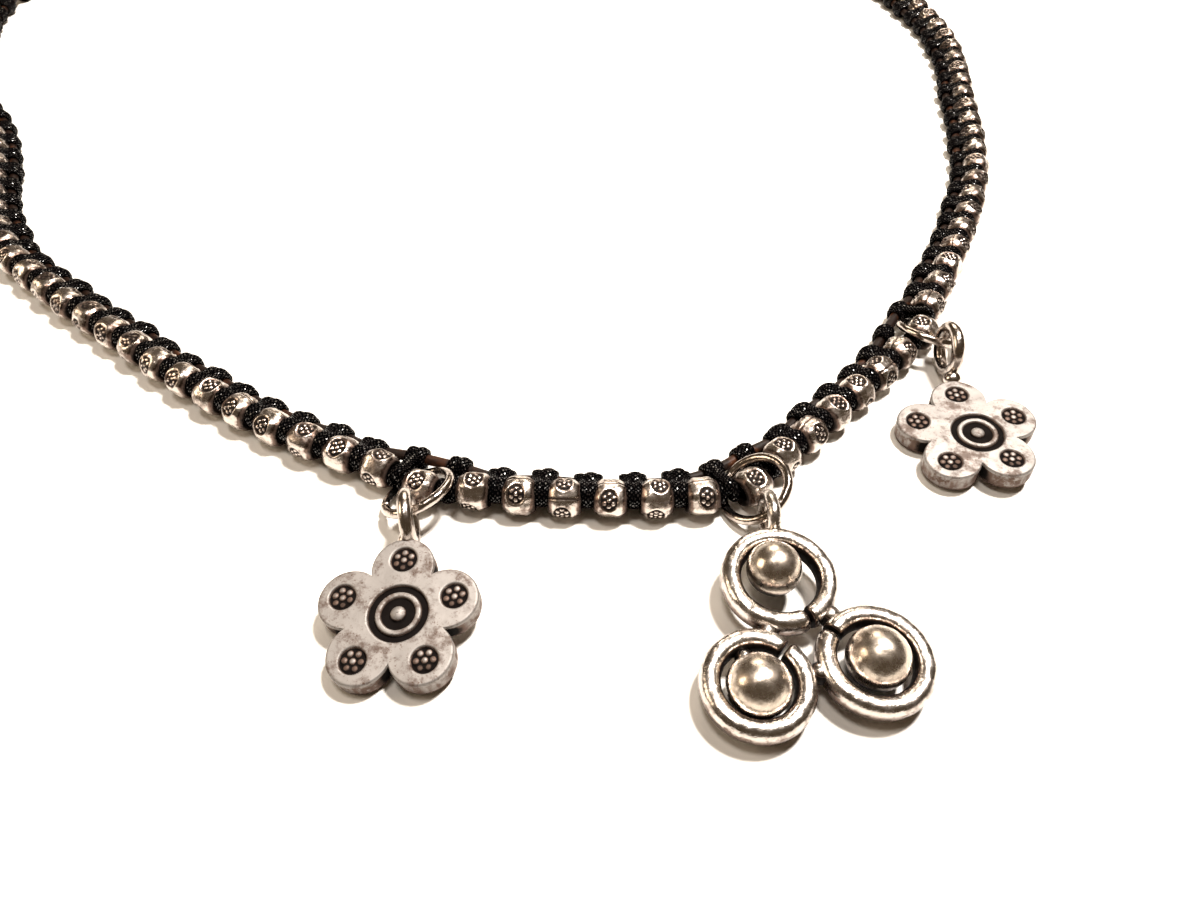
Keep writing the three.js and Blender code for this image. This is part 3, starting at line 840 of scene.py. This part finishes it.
def lying_in(node):
    """The matrix that lays a flat ring as that node lies."""
    low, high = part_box(node)
    points = corners(node)
    _, _, axes = np.linalg.svd(points - points.mean(0))
    normal = axes[2] * np.sign(axes[2][2])
    forward = unit(np.cross(np.cross(normal, (1.0, 0, 0)), normal))
    forward = forward * np.sign(forward[0])
    matrix = np.eye(4)
    matrix[:3] = np.stack([forward, np.cross(normal, forward), normal, (low + high) / 2], 1)
    return matrix


def build_jump_rings(sizes, colours):
    wire = wire_material("wire_silver", colours, colours.wire, rough=0.12)
    section = round_section(2 * sizes.ring_wire, 2 * sizes.ring_wire, 20)
    for side, joint in zip(CHARM_SIDES, RING_JOINTS):
        node = f"jump_ring_{side}"
        shape = Shape()
        split_hoop(shape, sizes.ring_radius, section, math.radians(joint), sizes.ring_joint)
        shape.moved(lying_in(node))
        shape.object(f"ring_wire_{side}", wire, [node])


def upright_hoop(shape, radius, wire, middle, turn=0.0):
    """A closed ring of round wire standing on edge, seen end on from the front."""
    along = np.array([-math.sin(turn), math.cos(turn), 0])
    line = np.asarray(middle) + radius * spokes(full_turn(CLOSED_STEPS), along, UP)
    tube(shape, line, wire, 20, closed=True, up=(math.cos(turn), math.sin(turn), 0))


def lump(shape, middle, radius, flat=1.0, steps=14, dark=0.0, line=(-0.3, 0.25)):
    """A smooth bead of solder or a ball. dark darkens its lower part, up to that line: painted shade on a
    ball, dark oxide on solder.
    """
    b = np.linspace(-math.pi / 2, math.pi / 2, steps)[:, None]
    a = full_turn(2 * steps)[None, :]
    ball = np.stack([np.cos(b) * np.cos(a), np.cos(b) * np.sin(a), np.sin(b) * flat + 0 * a], -1)
    ball[[0, -1]] = ball[[0, -1]].mean(1, keepdims=True) + 1e-3 * np.stack(
        [np.cos(a[0]), np.sin(a[0]), 0 * a[0]], -1)
    shade = dark * (1 - smoothstep(ball[..., 2] / flat, *line))
    shape.grid(np.asarray(middle) + ball * radius, dark=shade, caps=True)


def seat(shapes, node, turned):
    """Turns the shapes of one charm, and moves them so that their middle and their top match the node's."""
    boxes = np.array([shape.moved(turned).box() for shape in shapes])
    low, high = boxes[:, 0].min(0), boxes[:, 1].max(0)
    to_low, to_high = (np.array(v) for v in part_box(node))
    shift = (to_low + to_high - low - high) / 2
    shift[2] = to_high[2] - high[2]
    for shape in shapes:
        shape.moved(Matrix.Translation(shift))


# ---- flowers

# Flowers, in mm: the round grooves as inner and outer radius and depth, the dome in their middle, the
# petals' stamps, how far the face falls away and by what radius; in radians off a petal's middle, the
# notch between two; and the points round a flower and the rows over its face.
GROOVES = ((1.8, 2.35, 0.3), (0.0, 1.36, 0.26))
DOME_RADIUS, DOME_HEIGHT, PETAL_STAMP_DEPTH, FACE_FALL, FACE_REACH = 0.66, 0.42, 0.28, 0.1, 6.5
PETALS, PETAL_STAMP_WALL, NOTCH, FLOWER_AROUND, FLOWER_ROWS = 5, (0.86, 1.0), (0.42, 0.6), 300, 74


def flower_edge(sizes, a):
    """Distance from the flower's centre to its outline in each direction."""
    turn = TURN / PETALS
    off = (a - math.pi / 2 + turn / 2) % turn - turn / 2
    across = sizes.petal_centre * np.sin(off)
    return sizes.petal_centre * np.cos(off) + np.sqrt(np.clip(sizes.petal_radius ** 2 - across ** 2, 0, None))


def flower_relief(sizes, x, y, eye):
    """How far the flower's face is pressed in, and how dark it is, at each point. eye is the middle of
    its round grooves, in millimetres."""
    r = np.hypot(x - eye[0] * MM, y - eye[1] * MM)
    dent = np.zeros_like(r)
    dark = np.zeros_like(r)
    for inner, outer, depth in GROOVES:
        band = smoothstep(r, (inner - 0.09) * MM, (inner + 0.07) * MM) * (
            1 - smoothstep(r, (outer - 0.1) * MM, (outer + 0.06) * MM))
        dent += band * depth * MM
        dark = np.maximum(dark, band)
    dome = np.sqrt(np.clip(1 - (r / (DOME_RADIUS * MM)) ** 2, 0, 1))
    dent -= dome * DOME_HEIGHT * MM
    dark *= 1 - smoothstep(dome, 0.25, 0.7)
    for k in range(PETALS):
        aim = math.pi / 2 + k * TURN / PETALS
        px = x - sizes.petal_stamp_centre * math.cos(aim)
        py = y - sizes.petal_stamp_centre * math.sin(aim)
        out = np.hypot(px, py) / sizes.petal_stamp
        pressed = 1 - smoothstep(out, *PETAL_STAMP_WALL)
        raised = np.zeros_like(out)
        rubbed_and_lit = np.zeros_like(out)
        ring = sizes.petal_granule_ring
        for turn, gx, gy in grains(ring, ring, aim):
            near = ((px - gx) ** 2 + (py - gy) ** 2) / sizes.petal_granule ** 2
            grain = np.sqrt(np.clip(1 - near, 0, 1))
            # Grain tops are rubbed bare; the upper grains are painted lighter and the lower darker, as light
            # and shade.
            rubbed = 0.74 + 0.24 * math.sin(turn) if gx or gy else 1.0
            raised = np.maximum(raised, grain)
            rubbed_and_lit = np.maximum(rubbed_and_lit, rubbed * smoothstep(grain, 0.45, 0.95))
        dent += pressed * PETAL_STAMP_DEPTH * MM * (1 - 0.75 * raised)
        dark = np.maximum(dark, pressed * (1 - 0.8 * rubbed_and_lit))
    return dent, dark


def add_flower(shape, sizes, eye, seed):
    """A flower's plate, row by row from the middle of its face, over its rim and to its underside."""
    a = full_turn(FLOWER_AROUND)
    reach = flower_edge(sizes, a)
    half = sizes.plate / 2
    rng = np.random.default_rng(seed)
    wave = sum(rng.uniform(0.02, 0.045) * np.sin(k * a + rng.uniform(0, TURN)) for k in (2, 3, 7)) * MM
    rows, darks = [], []
    edge = sizes.plate_edge

    def add_row(r, z, dark):
        rows.append(np.stack([r * np.cos(a), r * np.sin(a), z + 0 * a], -1))
        darks.append(dark + 0 * a)

    for f in np.linspace(0.012, 1, FLOWER_ROWS) ** 0.9:
        r = (reach - edge) * f
        dent, dark = flower_relief(sizes, r * np.cos(a), r * np.sin(a), eye)
        part = r / (FACE_REACH * MM)
        add_row(r, half - dent - FACE_FALL * MM * part ** 2 + wave * part, dark)
    rim = rows[-1][:, 2]
    for b in np.linspace(0, math.pi / 2, 6)[1:]:
        add_row(reach - edge * (1 - math.sin(b)), rim - edge * (1 - math.cos(b)), 0.1)
    petal = TURN / PETALS
    notch = smoothstep(np.abs((a - math.pi / 2 + petal / 2) % petal - petal / 2), *NOTCH)
    streaks = rng.uniform(0, 1, FLOWER_AROUND)
    streaks = (streaks + np.roll(streaks, 1)) ** 2 * 0.25
    # The side wall is darkened as painted shade, more towards its foot; it is darker in the notches between
    # petals, and the streaks are tool marks.
    for drop in (0.1, 0.3, 0.5, 0.7, 0.9):
        streak = 0.35 * streaks * math.sin(drop * math.pi)
        add_row(reach, (rim - edge) * (1 - drop) + (edge - half) * drop,
                0.2 + 0.08 * drop + streak + 0.6 * notch)
    # Painted shade on the lower edge and under the flower.
    for b in np.linspace(0, math.pi / 2, 4)[1:]:
        add_row(reach - edge * (1 - math.cos(b)), edge * (1 - math.sin(b)) - half, 0.6)
    for f in (0.8, 0.4, 0.02):
        add_row((reach - edge) * f, -half, 0.2)
    shape.grid(rows, dark=darks, caps=True)


# One row for each flower: how far its far side is raised and its right side lowered, in degrees; the
# middles of its grooves and of its bail off its own, in millimetres; the bail's turn in degrees; where
# the bail's solder is; and a seed.
FLOWERS = (
    ("left", 7.4, -3.7, (0.2, 0), (-0.385, 8.77, -0.2), 11, 6.8, 3),
    ("right", 0.3, -5.0, (0.58, -0.44), (0.47, 10.405, 1.42), 2, 7.15, 8),
)
# Radius of the solder between a flower and its bail, in mm.
NECK_RADIUS = 0.85


def build_flowers(sizes, colours):
    silver = silver_material(
        "flower_silver", colours, colours.flower, tarnish=0.75, rough=0.62, grain=0.05, speckle=0.8)
    wire = wire_material("bail_silver", colours, colours.wire, rough=0.16)
    for side, tilt, lean, eye, bail, bail_turn, neck, seed in FLOWERS:
        node = f"flower_charm_{side}"
        plate, hoop = Shape(), Shape()
        add_flower(plate, sizes, eye, seed)
        plate.moved(Matrix.Rotation(math.radians(lean), 4, "Y"))
        middle = Vector(bail) * MM
        upright_hoop(hoop, sizes.bail_radius, sizes.bail_wire, middle, math.radians(bail_turn))
        lump(hoop, (middle.x / 2, neck * MM, middle.z / 3), NECK_RADIUS * MM, flat=0.9)
        seat((plate, hoop), node, Matrix.Rotation(math.radians(tilt), 4, "X"))
        plate.object(f"flower_{side}", silver, [node])
        hoop.object(f"flower_bail_{side}", wire, [node])


# ---- three rings

# One row for each ring: its centre and middle radius, the direction of its joint in degrees, and its
# ball's radius and place off the centre. Lengths are in mm.
TRIPLE_RINGS = (
    (-0.93, 5.16, 3.9, -68, 2.2, -0.3, 0.8),
    (-4.3, -3.33, 3.6, 44, 2.42, -0.05, -0.3),
    (4.8, -2.17, 3.72, 140, 2.42, 0.1, 0.0),
)
# Solder, in mm: centre, height and radius.
SOLDER = (
    (-2.7, 0.75, -0.1, 0.85), (2.35, 1.75, -0.1, 0.9), (0.5, -2.75, -0.1, 0.85),
    (-4.9, -1.1, -0.1, 0.72), (5.7, 0.25, -0.1, 0.62), (-1.9, 8.35, -0.1, 0.6),
)
# The middle of the charm's loop, and how far the rings are drawn in, in mm; and how far the charm is
# turned, and its far side raised, in degrees.
LOOP_PLACE, DRAWN_IN = (-0.35, 11.4, -0.35), 0.07
TRIPLE_TURN, TRIPLE_TILT = 5.3, 3.7


def build_three_rings(sizes, colours):
    rings, balls = Shape(), Shape()
    section = round_section(sizes.split_width, sizes.split_height, 28, 2.3)
    across, up = section.T / (sizes.split_width / 2)
    # Painted shade on the rings: the inner wall round the ball is darkened, as patina and shade in the
    # crevice, and the outer wall darkens towards its foot.
    inside = smoothstep(-across, 0.35, 0.75) * (1 - smoothstep(up, 0.75, 1.15))
    shade = np.maximum(inside, 0.55 * (1 - smoothstep(up, -0.1, 0.95)))
    for u, v, radius, joint, ball, du, dv in TRIPLE_RINGS:
        part = Shape()
        split_hoop(part, (radius - DRAWN_IN) * MM, section, math.radians(joint), sizes.split_joint, shade)
        rings.add(part.moved(Matrix.Translation((u * MM, v * MM, 0))))
        middle = ((u + du) * MM, (v + dv) * MM, sizes.ball_above)
        # Painted shade: each ball darkens over its lower part.
        lump(balls, middle, ball * MM, steps=26, dark=0.9, line=(-0.35, 0.15))
    for u, v, z, radius in SOLDER:
        lump(rings, (u * MM, v * MM, z * MM), radius * MM, dark=1.0, line=(0.55, 1.0))
    upright_hoop(rings, sizes.loop_radius, sizes.loop_wire, [v * MM for v in LOOP_PLACE])
    node = "three_ring_charm"
    turned = Matrix.Rotation(math.radians(TRIPLE_TURN), 4, "Z") @ \
        Matrix.Rotation(math.radians(TRIPLE_TILT), 4, "X")
    seat((rings, balls), node, turned)
    wire = silver_material("ring_charm_silver", colours, colours.charm, tarnish=0.6, rough=0.2, grain=0.2)
    dull = silver_material("ball_silver", colours, colours.ball, tarnish=0.7, rough=0.24, grain=0.1)
    rings.object("three_rings", wire, [node])
    balls.object("three_balls", dull, [node])


# ---- back of the necklace

# A back cord's knot reaches back by this share of its first step, and its tip has this radius; its
# other end reaches this far towards the clasp; both in mm. Steps between two points of its line.
KNOT_REACH, TIP_RADIUS, CLASP_REACH, BACK_STEPS = 0.75, 0.75, 0.6, 14
# Half of the clasp as rows: how far along it, and how thick it is there, as shares.
CLASP_END = ((0.68, 1.0), (0.69, 0.95), (0.73, 0.95), (0.74, 1.0), (0.95, 1.0), (0.985, 0.955),
             (1.0, 0.86), (1.0, 0.5))


def back_line(node, start):
    """Points under the middle of a back cord, in order from the last bead."""
    line = [np.array(start)]
    left = list(feet(node))
    while left:
        k = int(np.argmin([np.linalg.norm(p[:2] - line[-1][:2]) for p in left]))
        line.append(left.pop(k))
    return np.array(line[1:])


def knot(side):
    """Middle of the knot that a back cord begins with, beside the last bead on that side."""
    node = f"back_cord_{side}"
    middle = back_line(node, PLACES[0] if side == "left" else PLACES[-1])[0]
    return middle * (1, 1, 0) + np.array([0, 0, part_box(node)[1][2] / 2])


def build_back(sizes, colours):
    cord = cord_material("bound_cord", colours, cell=0.42)
    for side, start in (("left", PLACES[0]), ("right", PLACES[-1])):
        node = f"back_cord_{side}"
        low = back_line(node, start)
        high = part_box(node)[1][2] / 2
        radius = np.full(len(low), sizes.back_radius)
        radius[:2] = high
        first = low[0] + (low[0] - low[1]) * KNOT_REACH
        last = low[-1] + unit(low[-1] - low[-2]) * CLASP_REACH * MM
        low = np.concatenate([[first], low, [last]])
        radius = np.concatenate([[TIP_RADIUS * MM], radius, radius[-1:]])
        line = low + radius[:, None] * UP
        line[0, 2] = line[1, 2]
        fine = smooth_line(line, BACK_STEPS)
        wide = np.interp(np.arange(len(fine)) / BACK_STEPS, np.arange(len(radius)), radius)
        shape = Shape()
        tube(shape, fine, wide, 20)
        shape.object(f"bound_cord_{side}", cord, [node])


def build_clasp(sizes, colours):
    """The clasp: a plain rounded bar with a groove near each end."""
    points = corners("clasp")
    low, high = (np.array(v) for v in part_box("clasp"))
    _, _, axes = np.linalg.svd((points - points.mean(0)) * (1, 1, 0))
    ahead = axes[0]
    side = np.array([-ahead[1], ahead[0], 0])
    middle = (low + high) / 2
    length = np.ptp(points @ ahead) / 2
    width = np.ptp(points @ side) / 2
    height = (high[2] - low[2]) / 2
    section = round_section(2 * width, 2 * height, 40, 5.0)
    rows = []
    for place, thick in [(-p, t) for p, t in CLASP_END[::-1]] + list(CLASP_END):
        ring = section * (1 - (1 - thick) * sizes.clasp_edge / np.array([width, height]) * 2)
        rows.append(middle + ahead * place * length + ring[:, :1] * side + ring[:, 1:] * UP)
    shape = Shape()
    shape.grid(rows, caps=True)
    metal = wire_material("clasp_silver", colours, colours.silver, rough=0.32)
    made = shape.object("clasp_body", metal, ["clasp"])
    made.modifiers.new("edges", "EDGE_SPLIT").split_angle = math.radians(35)


# ---- table, light and camera

# The camera's place in mm, how far it looks down and is rolled in degrees, the width of its film in mm,
# and its lens as a share of that.
CAMERA_PLACE = (23.99, -117.41, 60.44)
CAMERA_DOWN, CAMERA_ROLL = 47.92, 0.71
FILM_WIDTH, LENS_SHARE = 36.0, 0.725
# Half of the table's width in metres, and how far it lies under the necklace in mm.
TABLE_HALF, TABLE_DROP = 1.2, 0.02
ROOM_COLOUR, ROOM_STRENGTH = (1.0, 0.7, 0.42, 1), 0.09
# Each light: name, place in millimetres, point it faces, its size in millimetres, power and colour.
LIGHTS = (
    ("key", (129, 20, 340), (20, -65, 0), 60, 3.2, (1.0, 0.93, 0.86)),
    ("over", (-30, -70, 380), (30, -75, 0), 90, 0.5, (1.0, 0.9, 0.8)),
    ("left", (-420, -40, 230), (20, -60, 0), 260, 0.8, (1.0, 0.81, 0.6)),
    ("back", (40, 420, 300), (20, -40, 0), 260, 0.9, (1.0, 0.86, 0.7)),
)


def build_stage(colours):
    bm = bmesh.new()
    bmesh.ops.create_grid(bm, x_segments=1, y_segments=1, size=TABLE_HALF)
    mesh = bpy.data.meshes.new("table")
    bm.to_mesh(mesh)
    bm.free()
    mesh.materials.append(table_material("table_top", colours.table))
    table = put("table", mesh)
    table.location.z = -TABLE_DROP * MM
    scene = bpy.context.scene
    scene.world = bpy.data.worlds.new("room")
    scene.world.use_nodes = True
    room = scene.world.node_tree.nodes["Background"]
    room.inputs["Color"].default_value = ROOM_COLOUR
    room.inputs["Strength"].default_value = ROOM_STRENGTH
    for name, place, aim, wide, power, tint in LIGHTS:
        lamp = bpy.data.lights.new(name, "AREA")
        lamp.shape = "DISK"
        lamp.size = wide * MM
        lamp.energy = power
        lamp.color = tint
        holder = put(name, lamp)
        holder.location = Vector(place) * MM
        way = (Vector(aim) - Vector(place)).normalized()
        holder.rotation_euler = way.to_track_quat("-Z", "Y").to_euler()
    camera = bpy.data.cameras.new("view")
    camera.sensor_width = FILM_WIDTH
    camera.lens = FILM_WIDTH * LENS_SHARE
    camera.clip_start = 0.001
    holder = put("view", camera)
    holder.location = Vector(CAMERA_PLACE) * MM
    look = Matrix.Rotation(math.radians(90 - CAMERA_DOWN), 4, "X") @ Matrix.Rotation(
        math.radians(CAMERA_ROLL), 4, "Z")
    holder.rotation_euler = look.to_euler()
    scene.camera = holder
    scene.view_settings.view_transform = "Standard"


# ---- operators and panel

def chosen(context):
    """The sizes and colours that are set on the scene."""
    return context.scene.necklace_sizes, context.scene.necklace_colours


class NECKLACE_OT_beads(bpy.types.Operator):
    """Strings the stamped silver beads."""

    bl_idname = "necklace.beads"
    bl_label = "Beads"

    def execute(self, context):
        build_beads(*chosen(context))
        return {"FINISHED"}


class NECKLACE_OT_core(bpy.types.Operator):
    """Lays the leather core beside the beads."""

    bl_idname = "necklace.core"
    bl_label = "Leather core"

    def execute(self, context):
        build_core(*chosen(context))
        return {"FINISHED"}


class NECKLACE_OT_lashing(bpy.types.Operator):
    """Lashes beads and core with waxed cord."""

    bl_idname = "necklace.lashing"
    bl_label = "Lashing"

    def execute(self, context):
        build_lashing(*chosen(context))
        return {"FINISHED"}


class NECKLACE_OT_jump_rings(bpy.types.Operator):
    """Makes the three jump rings."""

    bl_idname = "necklace.jump_rings"
    bl_label = "Jump rings"

    def execute(self, context):
        build_jump_rings(*chosen(context))
        return {"FINISHED"}


class NECKLACE_OT_flowers(bpy.types.Operator):
    """Makes the two flower charms."""

    bl_idname = "necklace.flowers"
    bl_label = "Flowers"

    def execute(self, context):
        build_flowers(*chosen(context))
        return {"FINISHED"}


class NECKLACE_OT_three_rings(bpy.types.Operator):
    """Makes the three-ring charm."""

    bl_idname = "necklace.three_rings"
    bl_label = "Three rings"

    def execute(self, context):
        build_three_rings(*chosen(context))
        return {"FINISHED"}


class NECKLACE_OT_back(bpy.types.Operator):
    """Binds the cords of the back."""

    bl_idname = "necklace.back"
    bl_label = "Back cords"

    def execute(self, context):
        build_back(*chosen(context))
        return {"FINISHED"}


class NECKLACE_OT_clasp(bpy.types.Operator):
    """Makes the clasp."""

    bl_idname = "necklace.clasp"
    bl_label = "Clasp"

    def execute(self, context):
        build_clasp(*chosen(context))
        return {"FINISHED"}


class NECKLACE_OT_stage(bpy.types.Operator):
    """Sets the table, the light and the view."""

    bl_idname = "necklace.stage"
    bl_label = "Table and light"

    def execute(self, context):
        build_stage(context.scene.necklace_colours)
        return {"FINISHED"}


OPERATORS = (
    NECKLACE_OT_beads, NECKLACE_OT_core, NECKLACE_OT_lashing, NECKLACE_OT_jump_rings, NECKLACE_OT_flowers,
    NECKLACE_OT_three_rings, NECKLACE_OT_back, NECKLACE_OT_clasp, NECKLACE_OT_stage,
)


class NECKLACE_PT_parts(bpy.types.Panel):
    """The necklace's parts, one button each."""

    bl_label = "Charm necklace"
    bl_idname = "NECKLACE_PT_parts"
    bl_space_type = "VIEW_3D"
    bl_region_type = "UI"
    bl_category = "Necklace"

    def draw(self, context):
        for operator in OPERATORS:
            self.layout.operator(operator.bl_idname)


CLASSES = (NecklaceSizes, NecklaceColours, *OPERATORS, NECKLACE_PT_parts)


def register():
    for cls in CLASSES:
        bpy.utils.register_class(cls)
    bpy.types.Scene.necklace_sizes = bpy.props.PointerProperty(type=NecklaceSizes)
    bpy.types.Scene.necklace_colours = bpy.props.PointerProperty(type=NecklaceColours)


def unregister():
    del bpy.types.Scene.necklace_colours
    del bpy.types.Scene.necklace_sizes
    for cls in reversed(CLASSES):
        bpy.utils.unregister_class(cls)


def main():
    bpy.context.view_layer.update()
    register()
    for operator in OPERATORS:
        getattr(bpy.ops.necklace, operator.bl_idname.split(".")[1])()


if __name__ == "__main__":
    main()
